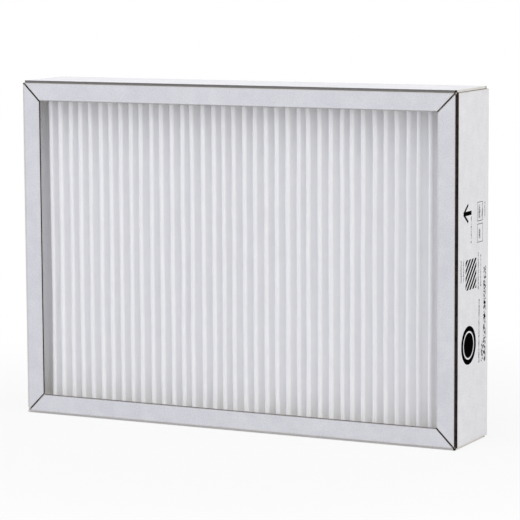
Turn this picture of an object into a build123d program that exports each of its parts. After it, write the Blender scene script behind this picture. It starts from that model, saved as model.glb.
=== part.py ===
from build123d import *
from math import asin, atan2, cos, hypot, pi, sin, sqrt
import os

# Pleated panel air filter: a zigzag pack of nonwoven sheet, glued into a frame that is folded
# from one blank of white-lined solid board. Millimetres, +Z up. The filter stands on its bottom
# wall with the origin at the bottom centre; the width runs along X, and the front faces -Y.

# Overall size
frame_width = 272.0
frame_height = 195.0
frame_depth = 46.0

# Board of the frame. Every fold line is slit from outside down to the inner liner, so each
# fold opens into a square notch that the liner alone bridges.
board_thickness = 1.3
liner_thickness = 0.35
fold_radius = 0.15
flange_reach = 11.6
mitre_gap = 0.6
corner_relief = 0.7

# Seam of the frame: a flap on the left wall, glued down inside the bottom wall
flap_length = 16.0
flap_setback = 2.0
seam_film = 0.2

# Nonwoven sheet and its pleats. The sheet starts at the back of the left wall and ends at the
# front of the right wall, so the number of legs is odd.
sheet_thickness = 0.8
leg_count = 81
pleat_radius = 0.95
tip_clearance = 0.4

# Glue that seals the pack to the frame
bead_thickness = 3.0
bead_clearance = 0.2
leaf_film = 0.3

# Places that follow from the sizes above
half_width = frame_width / 2
half_depth = frame_depth / 2
fold_offset = board_thickness + fold_radius
wall_half_depth = half_depth - fold_offset
wall_inner_x = half_width - board_thickness
flange_inner_y = half_depth - board_thickness
floor_z = board_thickness
ceiling_z = frame_height - board_thickness
pack_bottom_z = floor_z + bead_thickness
pack_top_z = ceiling_z - bead_thickness
seam_drop = board_thickness + seam_film
flap_half_depth = flange_inner_y - flap_setback
flap_end_x = -half_width + fold_offset + flap_length
half_sheet = sheet_thickness / 2
tip_y = flange_inner_y - tip_clearance
leaf_x = wall_inner_x - leaf_film - half_sheet
half_pitch = 2 * leaf_x / leg_count
end_radius = (half_pitch + pleat_radius) / 2


def block(x_range, y_range, z_range):
    """A box between three pairs of coordinates."""
    ranges = (x_range, y_range, z_range)
    size = [high - low for low, high in ranges]
    centre = [(low + high) / 2 for low, high in ranges]
    return Pos(*centre) * Box(*size)


def liner_bend(length):
    """The liner that bridges one fold: a quarter ring along +X, turning from -Z to -Y."""
    outer_radius = fold_radius + liner_thickness
    ring = Circle(outer_radius) - Circle(fold_radius)
    quarter = ring & Pos(outer_radius / 2, outer_radius / 2) * Rectangle(outer_radius, outer_radius)
    section = Plane(origin=(0, 0, 0), x_dir=(0, -1, 0), z_dir=(1, 0, 0)) * quarter
    return extrude(section, amount=length)


def front_flange(span):
    """The front flange of one side, mitred towards both of its neighbours."""
    mitre_setback = mitre_gap / sqrt(2)
    outer_half = span / 2 - fold_offset - mitre_setback
    inner_half = span / 2 - flange_reach - mitre_setback
    outline = Polyline(
        (-outer_half, fold_offset),
        (outer_half, fold_offset),
        (inner_half, flange_reach),
        (-inner_half, flange_reach),
        close=True,
    )
    front_plane = Plane.XZ.offset(half_depth - board_thickness)
    return extrude(front_plane * make_face(outline), amount=board_thickness)


def frame_side(span, start, end):
    """A wall lying on its outer face, from start to end along X, with its two folded flanges."""
    wall = block((start, end), (-wall_half_depth, wall_half_depth), (0, board_thickness))
    bend_start = max(start, fold_offset - span / 2) + corner_relief
    bend_end = min(end, span / 2 - fold_offset) - corner_relief
    bend = Pos(bend_start, -wall_half_depth, fold_offset) * liner_bend(bend_end - bend_start)
    front = front_flange(span) + bend
    return wall + front + mirror(front, Plane.XZ)


def corner_bend(end, half_length):
    """The depthwise bend that turns up from the end of a wall lying on its outer face."""
    bend = Rot(0, 0, 90) * liner_bend(2 * half_length)
    return Pos(end, -half_length, fold_offset) * bend


def frame_blank():
    """The folded board frame: four walls in a row round the pack, closed by the seam flap."""
    bend_half = wall_half_depth - corner_relief
    wide_end = half_width - fold_offset
    tall_end = frame_height / 2 - fold_offset
    seam_end = tall_end - seam_drop

    bottom = frame_side(frame_width, -half_width, wide_end) + corner_bend(wide_end, bend_half)
    right = frame_side(frame_height, -tall_end, tall_end) + corner_bend(tall_end, bend_half)
    top = frame_side(frame_width, -wide_end, wide_end) + corner_bend(wide_end, bend_half)
    left = frame_side(frame_height, -tall_end, seam_end) + corner_bend(seam_end, flap_half_depth)
    left += block(
        (frame_height / 2 - seam_drop - board_thickness, frame_height / 2 - seam_drop),
        (-flap_half_depth, flap_half_depth),
        (fold_offset, fold_offset + flap_length),
    )

    middle_z = frame_height / 2
    frame = bottom
    frame += Pos(half_width, 0, middle_z) * Rot(0, -90, 0) * right
    frame += Pos(0, 0, frame_height) * Rot(0, 180, 0) * top
    frame += Pos(-half_width, 0, middle_z) * Rot(0, 90, 0) * left
    return frame


def pleat_folds():
    """Each fold of the sheet in turn: centre, radius and turn, +1 at the front and -1 at the back."""
    folds = []
    for index in range(1, leg_count):
        turn = 1 if index % 2 else -1
        radius = pleat_radius
        x = -leaf_x + half_pitch * index
        if index == 1:
            radius = end_radius
            x = -leaf_x + end_radius
        if index == leg_count - 1:
            radius = end_radius
            x = leaf_x - end_radius
        y = -turn * (tip_y - half_sheet - radius)
        folds.append((x, y, radius, turn))
    return folds


def leg_headings(folds):
    """Heading of every leg: the end leaves run square to the front, the rest touch both folds."""
    headings = [-pi / 2]
    for (x, y, radius, turn), (next_x, next_y, next_radius, _) in zip(folds, folds[1:]):
        gap = hypot(next_x - x, next_y - y)
        lean = asin((radius + next_radius) / gap)
        headings.append(atan2(next_y - y, next_x - x) + turn * lean)
    headings.append(-pi / 2)
    return headings


def sheet_face(side, folds, headings):
    """One face of the folded sheet as lines and arcs; side is +1 or -1 across the sheet."""
    edges = []
    last = Vector(-leaf_x - side * half_sheet, tip_y)
    for (x, y, radius, turn), heading, next_heading in zip(folds, headings, headings[1:]):
        reach = turn * radius + side * half_sheet
        sweep = turn * ((turn * (next_heading - heading)) % (2 * pi))
        start, middle, end = (
            Vector(x + reach * sin(angle), y - reach * cos(angle))
            for angle in (heading, heading + sweep / 2, heading + sweep)
        )
        edges += [Line(last, start), ThreePointArc(start, middle, end)]
        last = end
    edges.append(Line(last, Vector(leaf_x - side * half_sheet, -tip_y)))
    return edges


def pleated_media():
    """The nonwoven sheet, folded into pleats that run the height between the two beads."""
    folds = pleat_folds()
    headings = leg_headings(folds)
    wall_face = sheet_face(1, folds, headings)
    room_face = sheet_face(-1, folds, headings)
    start_edge = Line(wall_face[0] @ 0, room_face[0] @ 0)
    end_edge = Line(wall_face[-1] @ 1, room_face[-1] @ 1)
    section = make_face([*wall_face, *room_face, start_edge, end_edge])
    return Pos(0, 0, pack_bottom_z) * extrude(section, amount=pack_top_z - pack_bottom_z)


def seal_bead(z_range):
    """A bed of glue across the inside of a wall, on which the pleat ends are set."""
    half_length = half_width - fold_offset
    half_bed = flange_inner_y - bead_clearance
    return block((-half_length, half_length), (-half_bed, half_bed), z_range)


def bottom_seal_bead():
    """The bottom bed of glue, which has flowed over the seam flap."""
    flap_space = block(
        (-half_width + fold_offset, flap_end_x),
        (-flap_half_depth, flap_half_depth),
        (floor_z, seam_drop + board_thickness),
    )
    return seal_bead((floor_z, pack_bottom_z)) - flap_space


def seam_glue():
    """The film of glue between the seam flap and the bottom wall."""
    return block(
        (-half_width + fold_offset, flap_end_x),
        (-flap_half_depth, flap_half_depth),
        (floor_z, seam_drop),
    )


def leaf_glue(side):
    """The film of glue between an end leaf of the sheet and its wall; side is -1 or +1."""
    inner = side * (wall_inner_x - leaf_film)
    outer = side * wall_inner_x
    half_film = tip_y - half_sheet - end_radius
    return block(sorted((inner, outer)), (-half_film, half_film), (pack_bottom_z, pack_top_z))


def main():
    nodes = {
        "folded_board_frame": frame_blank(),
        "pleated_media": pleated_media(),
        "top_seal_bead": seal_bead((pack_top_z, ceiling_z)),
        "bottom_seal_bead": bottom_seal_bead(),
        "left_leaf_glue": leaf_glue(-1),
        "right_leaf_glue": leaf_glue(1),
        "seam_glue": seam_glue(),
    }
    os.makedirs("parts", exist_ok=True)
    for name, solid in nodes.items():
        export_step(solid, f"parts/{name}.step")


main()
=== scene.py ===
import math

import bpy
from mathutils import Matrix, Vector


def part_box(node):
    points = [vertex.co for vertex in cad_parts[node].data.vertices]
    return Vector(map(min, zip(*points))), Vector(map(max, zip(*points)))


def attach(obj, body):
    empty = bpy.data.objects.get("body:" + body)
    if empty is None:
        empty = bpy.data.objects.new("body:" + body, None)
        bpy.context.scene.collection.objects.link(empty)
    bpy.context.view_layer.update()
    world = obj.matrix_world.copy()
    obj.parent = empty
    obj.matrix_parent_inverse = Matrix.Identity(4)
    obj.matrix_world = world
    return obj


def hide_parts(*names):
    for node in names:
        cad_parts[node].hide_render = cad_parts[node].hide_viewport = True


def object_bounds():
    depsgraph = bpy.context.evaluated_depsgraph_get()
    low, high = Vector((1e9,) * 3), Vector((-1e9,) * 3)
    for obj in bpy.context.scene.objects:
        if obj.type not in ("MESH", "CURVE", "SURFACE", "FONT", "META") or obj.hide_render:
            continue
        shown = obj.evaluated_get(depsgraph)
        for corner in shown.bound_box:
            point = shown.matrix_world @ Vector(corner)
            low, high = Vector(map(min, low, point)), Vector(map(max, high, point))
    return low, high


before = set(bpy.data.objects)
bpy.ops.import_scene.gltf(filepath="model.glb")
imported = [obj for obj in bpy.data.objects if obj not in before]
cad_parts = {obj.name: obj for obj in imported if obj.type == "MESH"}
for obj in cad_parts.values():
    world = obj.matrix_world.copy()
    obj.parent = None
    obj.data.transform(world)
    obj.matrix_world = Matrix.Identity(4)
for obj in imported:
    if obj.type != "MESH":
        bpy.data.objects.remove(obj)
cad_low, cad_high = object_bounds()

# Sizes, in metres. The overall ones come from the frame, the rest are the filter's own.
MM = 0.001
size = cad_high - cad_low
half_size = size / 2
media_low, media_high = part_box("pleated_media")
board_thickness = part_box("bottom_seal_bead")[0].z

# Board: how far a flange reaches in from the box's side, how far a wall's or flange's own face
# ends before the fold, half the gap of a mitre, and the strip at a fold that holds its cuts
FLANGE_REACH = 11.6 * MM
FOLD_SETBACK = 1.45 * MM
MITRE_HALF_GAP = 0.3 * MM
FOLD_ZONE = 2.5 * MM
FACE_TOLERANCE = 0.04 * MM

# Laser burns: full char is 1. The scorched rim runs along every cut, the mitre lips are thin lines of
# char on the face itself. The lines along the top and bottom edges of the openings are painted shade under
# the flanges' edges.
# The top folds' char is lighter than the right folds' full char: painted light, the top slits lit from above
TOP_CHAR_PAINTED_LIGHTER = 0.75
DEPTH_BURN = 0.7
PALE_BURN = 0.03
OPENING_PAINTED_SHADE = 0.5
MITRE_LIP = 0.16 * MM
OPENING_SHADE_WIDTH = 0.4 * MM
SCORCH_REACH = 0.9 * MM

# Board finish: cell is the size of the patches, low and high are where the two tones are reached
BOARD_CLOUDS = {"cell": 9 * MM, "detail": 3.0, "low_tone": "#E2E2E6", "high_tone": "#EAEAED"}
BOARD_GRAIN = {
    "cell": 0.7 * MM,
    "detail": 4.0,
    "low_tone": "#F1F1F2",
    "high_tone": "#FFFFFF",
    "high": 0.6,
}
BOARD_CHAR = {
    "cell": 2.5 * MM,
    "detail": 4.0,
    "low_tone": "#272221",
    "high_tone": "#423A39",
    "low": 0.35,
}
SCORCH_TINT = "#F3EFE6"
CORE_TONE = "#E4E2DE"
INK = "#060607"
COATING_SHINE = 0.5
SOOT_SHINE = 0.0

# Nonwoven and glue finish. Real fibres are 0.03 mm thick; they are drawn coarser so that they show
SHEET_CLOUDS = {"cell": 7 * MM, "detail": 4.0, "low_tone": "#F9F9FA", "high_tone": "#FDFDFD"}
FIBRE_CELL = 0.9 * MM
GLUE_WAVES = {
    "cell": 6 * MM,
    "detail": 2.0,
    "low_tone": "#DED8C4",
    "high_tone": "#EAE6D8",
    "low": 0.2,
    "high": 0.8,
}

# Pleats: legs are the flat parts between two folds, a fold's width is measured mid-sheet, and
# rows are the steps up the height
LEG_COUNT = 81
SHEET_THICKNESS = 0.8 * MM
FOLD_WIDTH = 1.9 * MM
FOLD_STEPS = 5
ROW_COUNT = 40
WELD = 0.02 * MM

# How a hand-set pack strays: folds drift sideways, more in the end zones that were set in the
# glue, tips stop short of the flange, the front leans left and the back right, one fold by the
# left wall is left short, and the legs sway a little up the height
FOLD_DRIFT = 0.42 * MM
END_DRIFT = 0.38 * MM
END_ZONE = 16 * MM
TIP_RECESS = 3.0 * MM
TIP_DRIFT = 0.7 * MM
FRONT_SHIFT = -3.25 * MM
BACK_SHIFT = 2.5 * MM
SHORT_FOLD = 3
SHORTENED_BY = 18 * MM
SWAY = 0.22 * MM
SWAY_LENGTH = 45 * MM
SWAY_STRETCH = (6.0, 1.0, 1.0)
FOLD_SEED = 5
TIP_SEED = 11
BOTTOM_SEED = 21
TOP_SEED = 31

# Noise strays about a quarter from its middle value, so this brings it to 1
NOISE_MIDDLE = 0.5
NOISE_GAIN = 4.0

# Half a step, to tell whole numbers apart
BETWEEN = 0.5

# Camera: where it stands, the azimuth and elevation it looks from, its roll and its lens
CAMERA_AT = Vector((0.64838, -1.27728, 0.27481))
CAMERA_AZIMUTH = 26.689
CAMERA_ELEVATION = 7.171
CAMERA_ROLL = 0.31
SENSOR = 36.0
LENS = 176.08
NEAREST_SEEN = 0.01

# Floor: its half width, its own tone, and the share of plain white over it, which grows from
# beside the filter to further out
FLOOR_REACH = 6.0
FLOOR_TONE = "#CFCFCF"
SHADED_WITHIN = 0.12
WHITE_BEYOND = 0.4
WHITE_BESIDE = 0.88

# Soft boxes seen from the filter: azimuth, elevation, distance and size in metres, watts, colour
SOFTBOXES = {
    "right_softbox": (88.0, 12.0, 1.9, 1.2, 13.8, "#FFFCF6"),
    "top_softbox": (0.0, 75.0, 1.2, 0.76, 6.0, "#FFFFFF"),
    "front_softbox": (-20.0, 12.0, 1.9, 1.2, 7.0, "#E8E9FA"),
    "back_left_softbox": (-125.0, 6.0, 1.9, 1.2, 6.0, "#FFFFFF"),
}
SURROUND = 0.58
SURROUND_COLOUR = "#F8F9FC"
WHITE = "#FFFFFF"

# Light bounces on and on between white pleats this deep
PLEAT_BOUNCES = 32


def linear(hex_colour):
    """An sRGB hex colour as linear RGBA."""
    channels = [int(hex_colour[i : i + 2], 16) / 255 for i in (1, 3, 5)]
    return [c / 12.92 if c <= 0.04045 else ((c + 0.055) / 1.055) ** 2.4 for c in channels] + [1.0]


def add(tree, kind, inputs=None, **settings):
    """Adds a node with its settings; each input takes a value or a link from an output socket."""
    node = tree.nodes.new(kind)
    for name, value in settings.items():
        setattr(node, name, value)
    for name, value in (inputs or {}).items():
        if isinstance(value, bpy.types.NodeSocket):
            tree.links.new(value, node.inputs[name])
        else:
            node.inputs[name].default_value = value
    return node


def new_material(name):
    """An empty node material and its tree."""
    material = bpy.data.materials.new(name)
    material.use_nodes = True
    material.node_tree.nodes.clear()
    return material, material.node_tree


# Print on the right wall, in millimetres: (y, z, width, height), y running to the back, z up.
# An arrow shows the air flow; the rest are plain panels, a hatched field, a disc and rows of
# broken lines.
ARROW_TIP = (-14.2, 127.8)
ARROW_SHAFT = 11.4
ARROW_SHAFT_WIDTH = 2.3
ARROW_BARB = 8.2
ARROW_BARB_WIDTH = 1.5
ARROW_BARB_ANGLE = 36.0
PANELS = [(9.6, 127.4, 7.4, 10.2), (9.7, 115.6, 7.7, 9.9)]
PANEL_LINE = 0.34
HATCHED_FIELD = (-3.2, 94.2, 15.6, 16.6)
HATCH_PITCH = 2.9
HATCH_ANGLE = 45.0
HATCH_SHARE = 0.6
DISC = (-6.2, 55.6)
DISC_RADII = (10.6, 7.8, 6.9)
BOLD_ROWS = [(16.8, 70.0, 3.4, 53.0), (12.4, 127.4, 1.3, 8.0), (13.3, 49.5, 2.4, 11.0)]
FINE_ROWS = [
    (-3.2, 118.6, 1.0, 14.8),
    (8.6, 127.4, 2.6, 7.6),
    (9.0, 115.4, 2.2, 5.4),
    (16.6, 128.0, 0.8, 8.6),
    (-17.4, 97.1, 1.3, 12.2),
    (-13.8, 97.1, 1.1, 12.2),
    (7.4, 94.8, 1.3, 20.5),
    (11.0, 94.8, 1.1, 17.5),
    (8.9, 61.4, 1.5, 35.3),
]
BOLD_GRAIN = 1.2
FINE_GRAIN = 0.55
STROKE_LEVEL = 0.5


def arrow_marks():
    """Shaft and two barbs of the arrow, which points to the front: marks with their turn."""
    tip_y, tip_z = ARROW_TIP
    marks = [(tip_y + ARROW_SHAFT / 2, tip_z, ARROW_SHAFT, ARROW_SHAFT_WIDTH, 0.0)]
    for turn in (ARROW_BARB_ANGLE, -ARROW_BARB_ANGLE):
        barb_y = tip_y + ARROW_BARB / 2 * math.cos(math.radians(turn))
        barb_z = tip_z + ARROW_BARB / 2 * math.sin(math.radians(turn))
        marks.append((barb_y, barb_z, ARROW_BARB, ARROW_BARB_WIDTH, turn))
    return marks


def from_centre(tree, place, y, z, turn=0.0):
    """Where a point of the wall lies from a mark's centre, in the mark's own millimetres."""
    own = add(
        tree,
        "ShaderNodeMapping",
        {
            "Vector": place,
            "Location": (half_size.x, y * MM, z * MM),
            "Rotation": (math.radians(turn), 0.0, 0.0),
            "Scale": (MM, MM, MM),
        },
        vector_type="TEXTURE",
    )
    return own.outputs[0]


def beyond_edge(tree, place, y, z, width, height, turn=0.0):
    """How far a point lies beyond a rectangular mark's edge: negative inside, 0 on the edge."""
    own = from_centre(tree, place, y, z, turn)
    off = add(tree, "ShaderNodeVectorMath", {0: own}, operation="ABSOLUTE").outputs[0]
    half = (0.0, width / 2, height / 2)
    over = add(tree, "ShaderNodeVectorMath", {0: off, 1: half}, operation="SUBTRACT").outputs[0]
    axes = add(tree, "ShaderNodeSeparateXYZ", {0: over}).outputs
    return add(tree, "ShaderNodeMath", {0: axes["Y"], 1: axes["Z"]}, operation="MAXIMUM").outputs[0]


def inside_any(tree, place, marks):
    """1 inside any of the rectangular marks."""
    nearest = beyond_edge(tree, place, *marks[0])
    for mark in marks[1:]:
        edge = beyond_edge(tree, place, *mark)
        nearest = add(tree, "ShaderNodeMath", {0: nearest, 1: edge}, operation="MINIMUM").outputs[0]
    return add(tree, "ShaderNodeMath", {0: nearest, 1: 0.0}, operation="LESS_THAN").outputs[0]


def broken_rows(tree, place, rows, grain):
    """Rows of small broken strokes, of a size given by their grain in millimetres."""
    speck = add(tree, "ShaderNodeTexNoise", {"Vector": place, "Scale": 1 / (grain * MM), "Detail": 1.0})
    stroke = add(
        tree, "ShaderNodeMath", {0: speck.outputs["Fac"], 1: STROKE_LEVEL}, operation="GREATER_THAN"
    ).outputs[0]
    inside = inside_any(tree, place, rows)
    return add(tree, "ShaderNodeMath", {0: inside, 1: stroke}, operation="MULTIPLY").outputs[0]


def hatching(tree, place):
    """Slanting bars that fill the hatched field."""
    own = from_centre(tree, place, HATCHED_FIELD[0], HATCHED_FIELD[1], HATCH_ANGLE)
    along = add(tree, "ShaderNodeSeparateXYZ", {0: own}).outputs["Z"]
    turns = add(tree, "ShaderNodeMath", {0: along, 1: HATCH_PITCH}, operation="DIVIDE").outputs[0]
    share = add(tree, "ShaderNodeMath", {0: turns}, operation="FRACT").outputs[0]
    bar = add(tree, "ShaderNodeMath", {0: share, 1: HATCH_SHARE}, operation="LESS_THAN").outputs[0]
    field = inside_any(tree, place, [HATCHED_FIELD])
    return add(tree, "ShaderNodeMath", {0: field, 1: bar}, operation="MULTIPLY").outputs[0]


def ringed_disc(tree, place):
    """A solid disc with one thin ring left bare."""
    outer, ring_out, ring_in = DISC_RADII
    own = from_centre(tree, place, *DISC)
    flat = add(tree, "ShaderNodeVectorMath", {0: own, 1: (0.0, 1.0, 1.0)}, operation="MULTIPLY").outputs[0]
    radius = add(tree, "ShaderNodeVectorMath", {0: flat}, operation="LENGTH").outputs["Value"]
    solid = add(tree, "ShaderNodeMath", {0: radius, 1: outer}, operation="LESS_THAN").outputs[0]
    middle, half_line = (ring_out + ring_in) / 2, (ring_out - ring_in) / 2
    ring = add(tree, "ShaderNodeMath", {0: radius, 1: middle, 2: half_line}, operation="COMPARE").outputs[0]
    return add(tree, "ShaderNodeMath", {0: solid, 1: ring}, operation="SUBTRACT").outputs[0]


def print_mask(tree, place):
    """1 where ink lies on the right wall."""
    layers = [
        inside_any(tree, place, arrow_marks()),
        broken_rows(tree, place, BOLD_ROWS, BOLD_GRAIN),
        broken_rows(tree, place, FINE_ROWS, FINE_GRAIN),
        hatching(tree, place),
        ringed_disc(tree, place),
    ]
    for panel in PANELS:
        edge = beyond_edge(tree, place, *panel)
        outline = {0: edge, 1: 0.0, 2: PANEL_LINE / 2}
        layers.append(add(tree, "ShaderNodeMath", outline, operation="COMPARE").outputs[0])
    ink = layers[0]
    for layer in layers[1:]:
        ink = add(tree, "ShaderNodeMath", {0: ink, 1: layer}, operation="MAXIMUM").outputs[0]
    x = add(tree, "ShaderNodeSeparateXYZ", {0: place}).outputs["X"]
    wall_x = half_size.x - FACE_TOLERANCE
    on_wall = add(tree, "ShaderNodeMath", {0: x, 1: wall_x}, operation="GREATER_THAN").outputs[0]
    return add(tree, "ShaderNodeMath", {0: ink, 1: on_wall}, operation="MULTIPLY").outputs[0]


def mottled(tree, place, cell, detail, low_tone, high_tone, low=0.3, high=0.7):
    """A tint in cloudy patches one cell wide: its colour, and the patches themselves for relief."""
    patches = add(tree, "ShaderNodeTexNoise", {"Vector": place, "Scale": 1 / cell, "Detail": detail})
    tint = add(tree, "ShaderNodeValToRGB", {"Fac": patches.outputs["Fac"]})
    ends = tint.color_ramp.elements
    ends[0].position, ends[1].position = low, high
    ends[0].color, ends[1].color = linear(low_tone), linear(high_tone)
    return tint.outputs[0], patches.outputs["Fac"]


def on_flange_face(tree, in_y):
    """1 on the outer faces of the flanges."""
    return add(tree, "ShaderNodeMath", {0: in_y, 1: FACE_TOLERANCE}, operation="LESS_THAN").outputs[0]


def off_mitre(tree, in_x, in_z):
    """How much the insets from side and level differ: 0 along the middle of a mitre."""
    askew = add(tree, "ShaderNodeMath", {0: in_x, 1: in_z}, operation="SUBTRACT").outputs[0]
    return add(tree, "ShaderNodeMath", {0: askew}, operation="ABSOLUTE").outputs[0]


def scorched_rim(tree, in_x, in_y, in_z):
    """1 beside the cuts on a lined face, falling to 0 within the scorch's reach."""
    low = add(tree, "ShaderNodeMath", {0: in_x, 1: in_z}, operation="MINIMUM").outputs[0]
    high = add(tree, "ShaderNodeMath", {0: in_x, 1: in_z}, operation="MAXIMUM").outputs[0]
    capped = add(tree, "ShaderNodeMath", {0: high, 1: in_y}, operation="MINIMUM").outputs[0]
    # On any face the middle one of the three insets is the way to its nearest fold
    to_side = add(tree, "ShaderNodeMath", {0: low, 1: capped}, operation="MAXIMUM").outputs[0]
    from_fold = add(tree, "ShaderNodeMath", {0: to_side, 1: FOLD_SETBACK}, operation="SUBTRACT").outputs[0]

    # On the flanges there is also the edge of the opening, and the mitre cut
    on_flange = on_flange_face(tree, in_y)
    off_flange = add(tree, "ShaderNodeMath", {0: 1.0, 1: on_flange}, operation="SUBTRACT").outputs[0]
    from_opening = add(tree, "ShaderNodeMath", {0: FLANGE_REACH, 1: to_side}, operation="SUBTRACT").outputs[0]
    square_on = {0: off_mitre(tree, in_x, in_z), 1: 1 / math.sqrt(2), 2: -MITRE_HALF_GAP}
    from_mitre = add(tree, "ShaderNodeMath", square_on, operation="MULTIPLY_ADD").outputs[0]
    cut_away = add(tree, "ShaderNodeMath", {0: from_opening, 1: from_mitre}, operation="MINIMUM").outputs[0]
    raised = add(tree, "ShaderNodeMath", {0: cut_away, 1: off_flange}, operation="ADD").outputs[0]
    nearest = add(tree, "ShaderNodeMath", {0: from_fold, 1: raised}, operation="MINIMUM").outputs[0]
    return add(
        tree,
        "ShaderNodeMapRange",
        {"Value": nearest, "From Min": 0.0, "From Max": SCORCH_REACH, "To Min": 1.0, "To Max": 0.0},
        interpolation_type="SMOOTHSTEP",
    ).outputs[0]


def side_burn(tree, inset, along, low_burn, high_burn):
    """Whether a cut belongs to a fold on one pair of sides, and how far that fold is burnt."""
    at_fold = add(tree, "ShaderNodeMath", {0: inset, 1: FOLD_ZONE}, operation="LESS_THAN").outputs[0]
    on_high = add(tree, "ShaderNodeMath", {0: along, 1: 0.0}, operation="GREATER_THAN").outputs[0]
    of_fold = add(tree, "ShaderNodeMix", {"Factor": on_high, 2: low_burn, 3: high_burn}).outputs[0]
    return at_fold, add(tree, "ShaderNodeMath", {0: at_fold, 1: of_fold}, operation="MULTIPLY").outputs[0]


def char_share_with_painted_light(tree, centred, in_x, in_y, in_z):
    """How far the laser burnt a cut: fully round the openings, at the mitres and on the right folds, less on
    the top ones, hardly on the left and bottom ones. The top folds' lighter char is painted light, for their
    slits lit from above, against the right folds' slits in the flanges' shade. Of the depthwise folds only
    the side walls' ends are browned."""
    middle = add(tree, "ShaderNodeSeparateXYZ", {0: centred}).outputs
    at_side, sides = side_burn(tree, in_x, middle["X"], PALE_BURN, 1.0)
    # The top folds get less char than the right ones: painted light, the top slits lit from above
    at_level, levels = side_burn(tree, in_z, middle["Z"], PALE_BURN, TOP_CHAR_PAINTED_LIGHTER)
    folds = add(tree, "ShaderNodeMath", {0: sides, 1: levels}, operation="MAXIMUM").outputs[0]
    at_any = add(tree, "ShaderNodeMath", {0: at_side, 1: at_level}, operation="MAXIMUM").outputs[0]
    across = add(tree, "ShaderNodeMix", {"Factor": at_any, 2: 1.0, 3: folds}).outputs[0]
    side_end = add(tree, "ShaderNodeMath", {0: in_z, 1: in_x}, operation="GREATER_THAN").outputs[0]
    along = add(tree, "ShaderNodeMix", {"Factor": side_end, 2: PALE_BURN, 3: DEPTH_BURN}).outputs[0]
    depthwise = add(tree, "ShaderNodeMath", {0: in_y, 1: FOLD_ZONE}, operation="GREATER_THAN").outputs[0]
    return add(tree, "ShaderNodeMix", {"Factor": depthwise, 2: across, 3: along}).outputs[0]


def mitre_char_and_opening_shade(tree, in_x, in_y, in_z):
    """Thin lines on the flanges' faces: burnt lips, dark along the mitres, and painted shade, half as dark,
    along the top and bottom edges of the openings under the flanges."""
    on_flange = on_flange_face(tree, in_y)
    away = off_mitre(tree, in_x, in_z)
    mitre_reach = (MITRE_HALF_GAP + MITRE_LIP) * math.sqrt(2)
    mitre = add(tree, "ShaderNodeMath", {0: away, 1: mitre_reach}, operation="LESS_THAN").outputs[0]
    # Painted shade: a thin grey line along the top and bottom edges of the openings
    lip_z = {0: in_z, 1: FLANGE_REACH - OPENING_SHADE_WIDTH / 2, 2: OPENING_SHADE_WIDTH / 2}
    opening = add(tree, "ShaderNodeMath", lip_z, operation="COMPARE").outputs[0]
    between = add(tree, "ShaderNodeMath", {0: in_x, 1: FLANGE_REACH}, operation="GREATER_THAN").outputs[0]
    edge = add(tree, "ShaderNodeMath", {0: opening, 1: between}, operation="MULTIPLY").outputs[0]
    browned = add(tree, "ShaderNodeMath", {0: edge, 1: OPENING_PAINTED_SHADE}, operation="MULTIPLY").outputs[0]
    lips = add(tree, "ShaderNodeMath", {0: mitre, 1: browned}, operation="MAXIMUM").outputs[0]
    return add(tree, "ShaderNodeMath", {0: lips, 1: on_flange}, operation="MULTIPLY").outputs[0]


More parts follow.
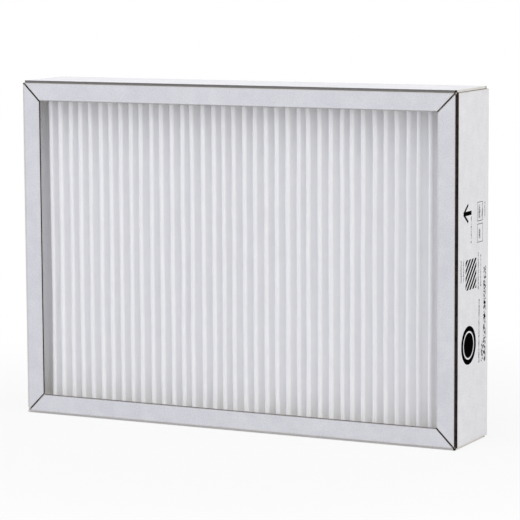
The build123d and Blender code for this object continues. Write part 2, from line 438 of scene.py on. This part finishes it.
def white_lined_board():
    """White-lined solid board, clay coated outside and laser cut: a smooth, faintly mottled cool
    white face, and cut edges charred to a brown black with a thin scorched rim."""
    material, tree = new_material("white_lined_solid_board_laser_cut")
    place = add(tree, "ShaderNodeTexCoord").outputs["Object"]
    middle = -(cad_low + cad_high) / 2
    centred = add(tree, "ShaderNodeMapping", {"Vector": place, "Location": middle}).outputs[0]
    off_centre = add(tree, "ShaderNodeVectorMath", {0: centred}, operation="ABSOLUTE").outputs[0]
    inset = add(tree, "ShaderNodeVectorMath", {0: half_size, 1: off_centre}, operation="SUBTRACT").outputs[0]
    insets = add(tree, "ShaderNodeSeparateXYZ", {0: inset}).outputs
    in_x, in_y, in_z = insets["X"], insets["Y"], insets["Z"]

    # Depth below the box's outside tells lined face, cut edge and inner lining apart
    nearest = add(tree, "ShaderNodeMath", {0: in_x, 1: in_z}, operation="MINIMUM").outputs[0]
    depth = add(tree, "ShaderNodeMath", {0: nearest, 1: in_y}, operation="MINIMUM").outputs[0]
    below_face = add(
        tree, "ShaderNodeMath", {0: depth, 1: FACE_TOLERANCE}, operation="GREATER_THAN"
    ).outputs[0]
    lining = board_thickness - FACE_TOLERANCE
    above_lining = add(tree, "ShaderNodeMath", {0: depth, 1: lining}, operation="LESS_THAN").outputs[0]
    cut = add(tree, "ShaderNodeMath", {0: below_face, 1: above_lining}, operation="MULTIPLY").outputs[0]

    # Cloudy formation of the sheet, a few millimetres wide, and the fine grain of its coating
    clouds, _ = mottled(tree, place, **BOARD_CLOUDS)
    grain, grain_height = mottled(tree, place, **BOARD_GRAIN)
    lined = add(
        tree, "ShaderNodeMix", {"Factor": 1.0, 6: clouds, 7: grain}, data_type="RGBA", blend_type="MULTIPLY"
    ).outputs[2]
    rim = scorched_rim(tree, in_x, in_y, in_z)
    browned = add(
        tree, "ShaderNodeMix", {"Factor": rim, 6: linear(WHITE), 7: linear(SCORCH_TINT)}, data_type="RGBA"
    ).outputs[2]
    faced = add(
        tree, "ShaderNodeMix", {"Factor": 1.0, 6: lined, 7: browned}, data_type="RGBA", blend_type="MULTIPLY"
    ).outputs[2]

    # Char on the cut edges, a little uneven along the cut, over the grey-beige core of the board; lighter on
    # the top folds as painted light from above
    char, _ = mottled(tree, place, **BOARD_CHAR)
    burnt = char_share_with_painted_light(tree, centred, in_x, in_y, in_z)
    edge = add(
        tree, "ShaderNodeMix", {"Factor": burnt, 6: linear(CORE_TONE), 7: char}, data_type="RGBA"
    ).outputs[2]
    # Burnt mitre lips, and the painted shade lines along the openings' top and bottom edges
    lips = mitre_char_and_opening_shade(tree, in_x, in_y, in_z)
    char_and_shade_laid = add(tree, "ShaderNodeMix", {"Factor": lips, 6: faced, 7: char}, data_type="RGBA").outputs[2]
    unprinted = add(tree, "ShaderNodeMix", {"Factor": cut, 6: char_and_shade_laid, 7: edge}, data_type="RGBA").outputs[2]
    ink = print_mask(tree, place)
    colour = add(
        tree, "ShaderNodeMix", {"Factor": ink, 6: unprinted, 7: linear(INK)}, data_type="RGBA"
    ).outputs[2]

    # Ink and soot shine less than the coating
    sooty = add(tree, "ShaderNodeMath", {0: cut, 1: ink}, operation="MAXIMUM").outputs[0]
    shine = add(tree, "ShaderNodeMix", {"Factor": sooty, 2: COATING_SHINE, 3: SOOT_SHINE}).outputs[0]
    relief = add(tree, "ShaderNodeBump", {"Strength": 0.25, "Distance": 0.05 * MM, "Height": grain_height})
    shader = add(
        tree,
        "ShaderNodeBsdfPrincipled",
        {
            "Base Color": colour,
            "Roughness": 0.58,
            "IOR": 1.5,
            "Specular IOR Level": shine,
            "Normal": relief.outputs[0],
        },
    )
    add(tree, "ShaderNodeOutputMaterial", {"Surface": shader.outputs[0]})
    return material


def nonwoven_sheet():
    """Thermally bonded polyester nonwoven: a matt, fibrous white with cloudy patches where the
    fibres lie thicker, and a soft sheen at grazing angles."""
    material, tree = new_material("polyester_nonwoven_thermally_bonded")
    place = add(tree, "ShaderNodeTexCoord").outputs["Object"]
    tint, _ = mottled(tree, place, **SHEET_CLOUDS)
    fibres = add(
        tree,
        "ShaderNodeTexNoise",
        {"Vector": place, "Scale": 1 / FIBRE_CELL, "Detail": 6.0, "Distortion": 1.2},
    ).outputs["Fac"]
    relief = add(tree, "ShaderNodeBump", {"Strength": 0.35, "Distance": 0.2 * MM, "Height": fibres})
    shader = add(
        tree,
        "ShaderNodeBsdfPrincipled",
        {
            "Base Color": tint,
            "Roughness": 0.9,
            "IOR": 1.45,
            "Sheen Weight": 0.2,
            "Sheen Roughness": 0.6,
            "Normal": relief.outputs[0],
        },
    )
    add(tree, "ShaderNodeOutputMaterial", {"Surface": shader.outputs[0]})
    return material


def hot_melt_glue():
    """Hot-melt glue, poured in a bed and set: a cream, faintly wavy satin skin."""
    material, tree = new_material("hot_melt_glue_poured")
    place = add(tree, "ShaderNodeTexCoord").outputs["Object"]
    tint, waves = mottled(tree, place, **GLUE_WAVES)
    relief = add(tree, "ShaderNodeBump", {"Strength": 0.5, "Distance": 0.3 * MM, "Height": waves})
    shader = add(
        tree,
        "ShaderNodeBsdfPrincipled",
        {"Base Color": tint, "Roughness": 0.4, "IOR": 1.48, "Normal": relief.outputs[0]},
    )
    add(tree, "ShaderNodeOutputMaterial", {"Surface": shader.outputs[0]})
    return material


def pleat_tree():
    """Geometry Nodes that fold one sheet into pleats: a square wave of points, two for each fold,
    is rounded at its corners, swept up the height, and let wander as a hand-set pack does."""
    tree = bpy.data.node_groups.new("folded_pleats", "GeometryNodeTree")
    sockets = {
        "Leg Count": "NodeSocketInt",
        "Leaf X": "NodeSocketFloat",
        "Fold Y": "NodeSocketFloat",
        "Fold Width": "NodeSocketFloat",
        "Fold Steps": "NodeSocketInt",
        "Bottom": "NodeSocketFloat",
        "Top": "NodeSocketFloat",
        "Rows": "NodeSocketInt",
        "Front Shift": "NodeSocketFloat",
        "Back Shift": "NodeSocketFloat",
        "Fold Drift": "NodeSocketFloat",
        "Tip Recess": "NodeSocketFloat",
        "Short Fold": "NodeSocketInt",
        "Shortened By": "NodeSocketFloat",
        "Tip Drift": "NodeSocketFloat",
        "End Drift": "NodeSocketFloat",
        "End Zone": "NodeSocketFloat",
        "Sway": "NodeSocketFloat",
        "Sway Length": "NodeSocketFloat",
        "Seed": "NodeSocketInt",
        "Material": "NodeSocketMaterial",
    }
    for name, kind in sockets.items():
        tree.interface.new_socket(name, in_out="INPUT", socket_type=kind)
    tree.interface.new_socket("Geometry", in_out="OUTPUT", socket_type="NodeSocketGeometry")
    given = add(tree, "NodeGroupInput").outputs

    # Point 2k and point 2k+1 are the two ends of leg k; fold f owns points 2f-1 and 2f
    point_count = add(
        tree, "ShaderNodeMath", {0: given["Leg Count"], 1: 2.0}, operation="MULTIPLY"
    ).outputs[0]
    line = add(tree, "GeometryNodeMeshLine", {"Count": point_count})
    index = add(tree, "GeometryNodeInputIndex").outputs[0]
    next_index = add(tree, "ShaderNodeMath", {0: index, 1: 1.0}, operation="ADD").outputs[0]
    half_index = add(tree, "ShaderNodeMath", {0: next_index, 1: 2.0}, operation="DIVIDE").outputs[0]
    fold = add(tree, "ShaderNodeMath", {0: half_index}, operation="FLOOR").outputs[0]
    entering = add(tree, "ShaderNodeMath", {0: index, 1: 2.0}, operation="MODULO").outputs[0]
    fold_parity = add(tree, "ShaderNodeMath", {0: fold, 1: 2.0}, operation="MODULO").outputs[0]

    # Folds and the two ends stand half a pitch apart; odd folds are at the front
    pack_width = add(tree, "ShaderNodeMath", {0: given["Leaf X"], 1: 2.0}, operation="MULTIPLY").outputs[0]
    half_pitch = add(
        tree, "ShaderNodeMath", {0: pack_width, 1: given["Leg Count"]}, operation="DIVIDE"
    ).outputs[0]
    pitch = add(tree, "ShaderNodeMath", {0: half_pitch, 1: 2.0}, operation="MULTIPLY").outputs[0]
    along = add(tree, "ShaderNodeMath", {0: fold, 1: half_pitch}, operation="MULTIPLY").outputs[0]
    even_x = add(tree, "ShaderNodeMath", {0: along, 1: given["Leaf X"]}, operation="SUBTRACT").outputs[0]
    wander = add(
        tree,
        "FunctionNodeRandomValue",
        {2: -1.0, 3: 1.0, "ID": fold, "Seed": given["Seed"]},
        data_type="FLOAT",
    ).outputs[1]
    shift = add(tree, "ShaderNodeMath", {0: wander, 1: given["Fold Drift"]}, operation="MULTIPLY").outputs[0]
    fold_x = add(tree, "ShaderNodeMath", {0: even_x, 1: shift}, operation="ADD").outputs[0]
    side = add(tree, "ShaderNodeMath", {0: 1 / 2, 1: entering}, operation="SUBTRACT").outputs[0]
    half_fold = add(
        tree, "ShaderNodeMath", {0: side, 1: given["Fold Width"]}, operation="MULTIPLY"
    ).outputs[0]
    corner_x = add(tree, "ShaderNodeMath", {0: fold_x, 1: half_fold}, operation="ADD").outputs[0]

    # The first and last leg lie flat on the side walls
    last_index = add(
        tree, "ShaderNodeMath", {0: point_count, 1: 2 + BETWEEN}, operation="SUBTRACT"
    ).outputs[0]
    is_first = add(tree, "ShaderNodeMath", {0: index, 1: 1 + BETWEEN}, operation="LESS_THAN").outputs[0]
    is_last = add(tree, "ShaderNodeMath", {0: index, 1: last_index}, operation="GREATER_THAN").outputs[0]
    end_sign = add(tree, "ShaderNodeMath", {0: is_last, 1: is_first}, operation="SUBTRACT").outputs[0]
    end_x = add(tree, "ShaderNodeMath", {0: end_sign, 1: given["Leaf X"]}, operation="MULTIPLY").outputs[0]
    is_end = add(tree, "ShaderNodeMath", {0: is_first, 1: is_last}, operation="ADD").outputs[0]
    point_x = add(tree, "ShaderNodeMix", {"Factor": is_end, 2: corner_x, 3: end_x}).outputs[0]

    # Folds stop short of the flange, each by its own amount; the pack's two outer ends reach all
    # the way, and one fold by the left wall is left far short
    shortfall = add(
        tree,
        "FunctionNodeRandomValue",
        {2: 0.0, 3: given["Tip Drift"], "ID": fold, "Seed": TIP_SEED},
        data_type="FLOAT",
    ).outputs[1]
    set_back = add(tree, "ShaderNodeMath", {0: shortfall, 1: given["Tip Recess"]}, operation="ADD").outputs[0]
    is_short = add(
        tree, "ShaderNodeMath", {0: fold, 1: given["Short Fold"], 2: BETWEEN}, operation="COMPARE"
    ).outputs[0]
    pulled_in = add(
        tree, "ShaderNodeMath", {0: is_short, 1: given["Shortened By"]}, operation="MULTIPLY"
    ).outputs[0]
    inward = add(tree, "ShaderNodeMath", {0: set_back, 1: pulled_in}, operation="ADD").outputs[0]
    is_outer = add(tree, "ShaderNodeMath", {0: index, 1: BETWEEN}, operation="LESS_THAN").outputs[0]
    outer_index = add(
        tree, "ShaderNodeMath", {0: point_count, 1: 1 + BETWEEN}, operation="SUBTRACT"
    ).outputs[0]
    is_final = add(tree, "ShaderNodeMath", {0: index, 1: outer_index}, operation="GREATER_THAN").outputs[0]
    on_wall = add(tree, "ShaderNodeMath", {0: is_outer, 1: is_final}, operation="ADD").outputs[0]
    recess = add(tree, "ShaderNodeMix", {"Factor": on_wall, 2: inward, 3: 0.0}).outputs[0]
    reach = add(tree, "ShaderNodeMath", {0: given["Fold Y"], 1: recess}, operation="SUBTRACT").outputs[0]
    # Even folds face the back, +1, and odd ones the front, -1
    facing = add(
        tree, "ShaderNodeMath", {0: fold_parity, 1: -2.0, 2: 1.0}, operation="MULTIPLY_ADD"
    ).outputs[0]
    point_y = add(tree, "ShaderNodeMath", {0: reach, 1: facing}, operation="MULTIPLY").outputs[0]
    corner = add(tree, "ShaderNodeCombineXYZ", {"X": point_x, "Y": point_y}).outputs[0]
    square_wave = add(tree, "GeometryNodeSetPosition", {"Geometry": line.outputs[0], "Position": corner})

    # Each fold carries its own drift at the bottom and the top, where it was set in the glue
    drifts = add(tree, "GeometryNodeCaptureAttribute", {"Geometry": square_wave.outputs[0]})
    for name, seed in (("Bottom Drift", BOTTOM_SEED), ("Top Drift", TOP_SEED)):
        drifts.capture_items.new("FLOAT", name)
        drift = add(
            tree,
            "FunctionNodeRandomValue",
            {2: -1.0, 3: 1.0, "ID": fold, "Seed": seed},
            data_type="FLOAT",
        ).outputs[1]
        tree.links.new(drift, drifts.inputs[name])

    # Sweep the rounded wave up the height
    wave = add(tree, "GeometryNodeMeshToCurve", {"Mesh": drifts.outputs["Geometry"]})
    folded = add(
        tree,
        "GeometryNodeFilletCurve",
        {
            "Curve": wave.outputs[0],
            "Count": given["Fold Steps"],
            "Radius": half_pitch,
            "Limit Radius": True,
        },
        mode="POLY",
    )
    upright = add(tree, "GeometryNodeSetCurveNormal", {"Curve": folded.outputs[0]}, mode="Z_UP")
    height = add(
        tree, "ShaderNodeMath", {0: given["Top"], 1: given["Bottom"]}, operation="SUBTRACT"
    ).outputs[0]
    far_end = add(tree, "ShaderNodeCombineXYZ", {"Y": height}).outputs[0]
    edge = add(tree, "GeometryNodeCurvePrimitiveLine", {"End": far_end})
    rows = add(tree, "GeometryNodeResampleCurve", {"Curve": edge.outputs[0], "Count": given["Rows"]})
    sheet = add(
        tree, "GeometryNodeCurveToMesh", {"Curve": upright.outputs[0], "Profile Curve": rows.outputs[0]}
    )

    # Height above the bottom bed, whichever way the sweep ran
    position = add(tree, "GeometryNodeInputPosition").outputs[0]
    at = add(tree, "ShaderNodeSeparateXYZ", {0: position}).outputs
    rise = add(tree, "ShaderNodeMath", {0: at["Z"]}, operation="ABSOLUTE").outputs[0]
    z = add(tree, "ShaderNodeMath", {0: rise, 1: given["Bottom"]}, operation="ADD").outputs[0]
    from_top = add(tree, "ShaderNodeMath", {0: given["Top"], 1: z}, operation="SUBTRACT").outputs[0]
    end_shifts = []
    for distance, name in ((rise, "Bottom Drift"), (from_top, "Top Drift")):
        pull = add(
            tree,
            "ShaderNodeMapRange",
            {
                "Value": distance,
                "From Min": 0.0,
                "From Max": given["End Zone"],
                "To Min": 1.0,
                "To Max": 0.0,
            },
            interpolation_type="SMOOTHSTEP",
        ).outputs[0]
        drift = add(
            tree, "ShaderNodeMath", {0: drifts.outputs[name], 1: given["End Drift"]}, operation="MULTIPLY"
        ).outputs[0]
        end_shifts.append(add(tree, "ShaderNodeMath", {0: pull, 1: drift}, operation="MULTIPLY").outputs[0])
    low_shift, high_shift = end_shifts
    shift_x = add(tree, "ShaderNodeMath", {0: low_shift, 1: high_shift}, operation="ADD").outputs[0]

    # A slow sway along the height, different from pleat to pleat
    cell = add(tree, "ShaderNodeCombineXYZ", {"X": at["X"], "Y": at["Y"], "Z": z}).outputs[0]
    frequency = add(tree, "ShaderNodeMath", {0: 1.0, 1: given["Sway Length"]}, operation="DIVIDE").outputs[0]
    stretched = add(
        tree, "ShaderNodeVectorMath", {0: cell, 1: SWAY_STRETCH}, operation="MULTIPLY"
    ).outputs[0]
    noise = add(
        tree, "ShaderNodeTexNoise", {"Vector": stretched, "Scale": frequency, "Detail": 1.0}
    ).outputs["Fac"]
    swing = add(tree, "ShaderNodeMath", {0: noise, 1: NOISE_MIDDLE}, operation="SUBTRACT").outputs[0]
    sway = add(tree, "ShaderNodeMath", {0: swing, 1: given["Sway"]}, operation="MULTIPLY").outputs[0]
    full_sway = add(tree, "ShaderNodeMath", {0: sway, 1: NOISE_GAIN}, operation="MULTIPLY").outputs[0]
    swaying = add(tree, "ShaderNodeMath", {0: shift_x, 1: full_sway}, operation="ADD").outputs[0]

    # The pack leans: its front folds stand further left than its back ones
    front_y = add(tree, "ShaderNodeMath", {0: given["Fold Y"], 1: -1.0}, operation="MULTIPLY").outputs[0]
    leaning = add(
        tree,
        "ShaderNodeMapRange",
        {
            "Value": at["Y"],
            "From Min": front_y,
            "From Max": given["Fold Y"],
            "To Min": given["Front Shift"],
            "To Max": given["Back Shift"],
        },
    ).outputs[0]
    wandering = add(tree, "ShaderNodeMath", {0: swaying, 1: leaning}, operation="ADD").outputs[0]

    # The end legs and the folds next to them stay where the glue holds them
    from_middle = add(tree, "ShaderNodeMath", {0: at["X"]}, operation="ABSOLUTE").outputs[0]
    from_leaf = add(
        tree, "ShaderNodeMath", {0: given["Leaf X"], 1: from_middle}, operation="SUBTRACT"
    ).outputs[0]
    from_fold = add(tree, "ShaderNodeMath", {0: from_leaf, 1: half_pitch}, operation="SUBTRACT").outputs[0]
    free = add(
        tree, "ShaderNodeMath", {0: from_fold, 1: pitch}, operation="DIVIDE", use_clamp=True
    ).outputs[0]
    moved_x = add(tree, "ShaderNodeMath", {0: wandering, 1: free}, operation="MULTIPLY").outputs[0]
    final_x = add(tree, "ShaderNodeMath", {0: at["X"], 1: moved_x}, operation="ADD").outputs[0]
    final = add(tree, "ShaderNodeCombineXYZ", {"X": final_x, "Y": at["Y"], "Z": z}).outputs[0]
    placed = add(tree, "GeometryNodeSetPosition", {"Geometry": sheet.outputs[0], "Position": final})

    welded = add(tree, "GeometryNodeMergeByDistance", {"Geometry": placed.outputs[0], "Distance": WELD})
    smooth = add(tree, "GeometryNodeSetShadeSmooth", {"Geometry": welded.outputs[0]})
    real = add(tree, "GeometryNodeRealizeInstances", {"Geometry": smooth.outputs[0]})
    painted = add(
        tree, "GeometryNodeSetMaterial", {"Geometry": real.outputs[0], "Material": given["Material"]}
    )
    add(tree, "NodeGroupOutput", {"Geometry": painted.outputs[0]})
    return tree


def plain_mesh(shaper, name):
    """The evaluated object as a plain mesh object of its own; the shaper is removed."""
    graph = bpy.context.evaluated_depsgraph_get()
    mesh = bpy.data.meshes.new_from_object(shaper.evaluated_get(graph))
    bpy.data.objects.remove(shaper)
    mesh.name = name
    piece = bpy.data.objects.new(name, mesh)
    bpy.context.collection.objects.link(piece)
    return piece


def pleated_pack(material):
    """The folded sheet, in the room that its CAD solid takes."""
    shaper = bpy.data.objects.new("pleat_shaper", bpy.data.meshes.new("pleat_shaper"))
    bpy.context.collection.objects.link(shaper)
    tree = pleat_tree()
    values = {
        "Leg Count": LEG_COUNT,
        "Leaf X": media_high.x - SHEET_THICKNESS / 2,
        "Fold Y": media_high.y - SHEET_THICKNESS / 2,
        "Fold Width": FOLD_WIDTH,
        "Fold Steps": FOLD_STEPS,
        "Bottom": media_low.z,
        "Top": media_high.z,
        "Rows": ROW_COUNT,
        "Front Shift": FRONT_SHIFT,
        "Back Shift": BACK_SHIFT,
        "Fold Drift": FOLD_DRIFT,
        "Tip Recess": TIP_RECESS,
        "Short Fold": SHORT_FOLD,
        "Shortened By": SHORTENED_BY,
        "Tip Drift": TIP_DRIFT,
        "End Drift": END_DRIFT,
        "End Zone": END_ZONE,
        "Sway": SWAY,
        "Sway Length": SWAY_LENGTH,
        "Seed": FOLD_SEED,
        "Material": material,
    }
    folding = shaper.modifiers.new("folding", "NODES")
    folding.node_group = tree
    for item in tree.interface.items_tree:
        if item.in_out == "INPUT":
            folding[item.identifier] = values[item.name]
    thickness = shaper.modifiers.new("thickness", "SOLIDIFY")
    thickness.thickness = SHEET_THICKNESS
    thickness.offset = 0.0
    thickness.use_even_offset = True
    pack = plain_mesh(shaper, "pleated_sheet")
    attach(pack, "root")
    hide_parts("pleated_media")
    return pack


def stand_camera():
    """The camera at the viewing angle, aimed without any lens shift."""
    data = bpy.data.cameras.new("camera")
    data.sensor_width = SENSOR
    data.lens = LENS
    data.clip_start = NEAREST_SEEN
    camera = bpy.data.objects.new("camera", data)
    turn = (
        Matrix.Rotation(math.radians(CAMERA_AZIMUTH), 4, "Z")
        @ Matrix.Rotation(math.radians(90 - CAMERA_ELEVATION), 4, "X")
        @ Matrix.Rotation(math.radians(-CAMERA_ROLL), 4, "Z")
    )
    camera.matrix_world = Matrix.Translation(CAMERA_AT) @ turn
    bpy.context.collection.objects.link(camera)
    bpy.context.scene.camera = camera


def plain_white_rays(tree):
    """1 for rays from the camera or off a gloss, which meet a plain white floor and surround."""
    path = add(tree, "ShaderNodeLightPath").outputs
    rays = {0: path["Is Camera Ray"], 1: path["Is Glossy Ray"]}
    return add(tree, "ShaderNodeMath", rays, operation="MAXIMUM").outputs[0]


def white_floor():
    """A pale floor: pure white away from the filter, and shaded by it close by."""
    material, tree = new_material("studio_floor_matt_white")
    place = add(tree, "ShaderNodeTexCoord").outputs["Object"]
    away = add(tree, "ShaderNodeVectorMath", {0: place}, operation="LENGTH").outputs["Value"]
    share = add(
        tree,
        "ShaderNodeMapRange",
        {
            "Value": away,
            "From Min": SHADED_WITHIN,
            "From Max": WHITE_BEYOND,
            "To Min": WHITE_BESIDE,
            "To Max": 1.0,
        },
        interpolation_type="SMOOTHSTEP",
    ).outputs[0]
    seen = plain_white_rays(tree)
    white = add(tree, "ShaderNodeMath", {0: seen, 1: share}, operation="MULTIPLY").outputs[0]
    matt = add(tree, "ShaderNodeBsdfDiffuse", {"Color": linear(FLOOR_TONE)})
    glow = add(tree, "ShaderNodeEmission", {"Color": linear(WHITE), "Strength": 1.0})
    mixed = add(tree, "ShaderNodeMixShader", {0: white, 1: matt.outputs[0], 2: glow.outputs[0]})
    add(tree, "ShaderNodeOutputMaterial", {"Surface": mixed.outputs[0]})

    mesh = bpy.data.meshes.new("studio_floor")
    turns = ((-1, -1), (1, -1), (1, 1), (-1, 1))
    corners = [(x * FLOOR_REACH, y * FLOOR_REACH, 0.0) for x, y in turns]
    mesh.from_pydata(corners, [], [range(len(corners))])
    mesh.materials.append(material)
    floor = bpy.data.objects.new("studio_floor", mesh)
    bpy.context.collection.objects.link(floor)


def softbox(name, place, aim, width, power, colour):
    """A square area light at a place, aimed at a point."""
    data = bpy.data.lights.new(name, "AREA")
    data.size = width
    data.energy = power
    data.color = linear(colour)[:3]
    lamp = bpy.data.objects.new(name, data)
    facing = (aim - place).to_track_quat("-Z", "Y").to_matrix().to_4x4()
    lamp.matrix_world = Matrix.Translation(place) @ facing
    bpy.context.collection.objects.link(lamp)


def studio_light():
    """Soft boxes to the right, above, in front and at the back left, and a white surround."""
    aim = Vector((0.0, 0.0, size.z / 2))
    for name, (azimuth, elevation, distance, width, power, colour) in SOFTBOXES.items():
        across, up = math.radians(azimuth), math.radians(elevation)
        level = Vector((math.sin(across), -math.cos(across), 0.0)) * math.cos(up)
        towards = level + Vector((0.0, 0.0, math.sin(up)))
        softbox(name, aim + towards * distance, aim, width, power, colour)
    world = bpy.data.worlds.new("studio")
    bpy.context.scene.world = world
    world.use_nodes = True
    tree = world.node_tree
    tree.nodes.clear()
    seen = plain_white_rays(tree)
    surround = add(tree, "ShaderNodeBackground", {"Color": linear(SURROUND_COLOUR), "Strength": SURROUND})
    white = add(tree, "ShaderNodeBackground", {"Color": linear(WHITE), "Strength": 1.0})
    mixed = add(tree, "ShaderNodeMixShader", {0: seen, 1: surround.outputs[0], 2: white.outputs[0]})
    add(tree, "ShaderNodeOutputWorld", {"Surface": mixed.outputs[0]})


def main():
    """Finishes on the CAD pieces, the pleated sheet, and the studio."""
    board = white_lined_board()
    glue = hot_melt_glue()
    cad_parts["folded_board_frame"].material_slots[0].material = board
    for name in ("top_seal_bead", "bottom_seal_bead", "left_leaf_glue", "right_leaf_glue", "seam_glue"):
        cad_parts[name].material_slots[0].material = glue
    pleated_pack(nonwoven_sheet())
    stand_camera()
    white_floor()
    studio_light()
    bpy.context.scene.view_settings.view_transform = "Standard"
    bpy.context.scene.cycles.diffuse_bounces = PLEAT_BOUNCES
    bpy.context.scene.cycles.max_bounces = PLEAT_BOUNCES


main()
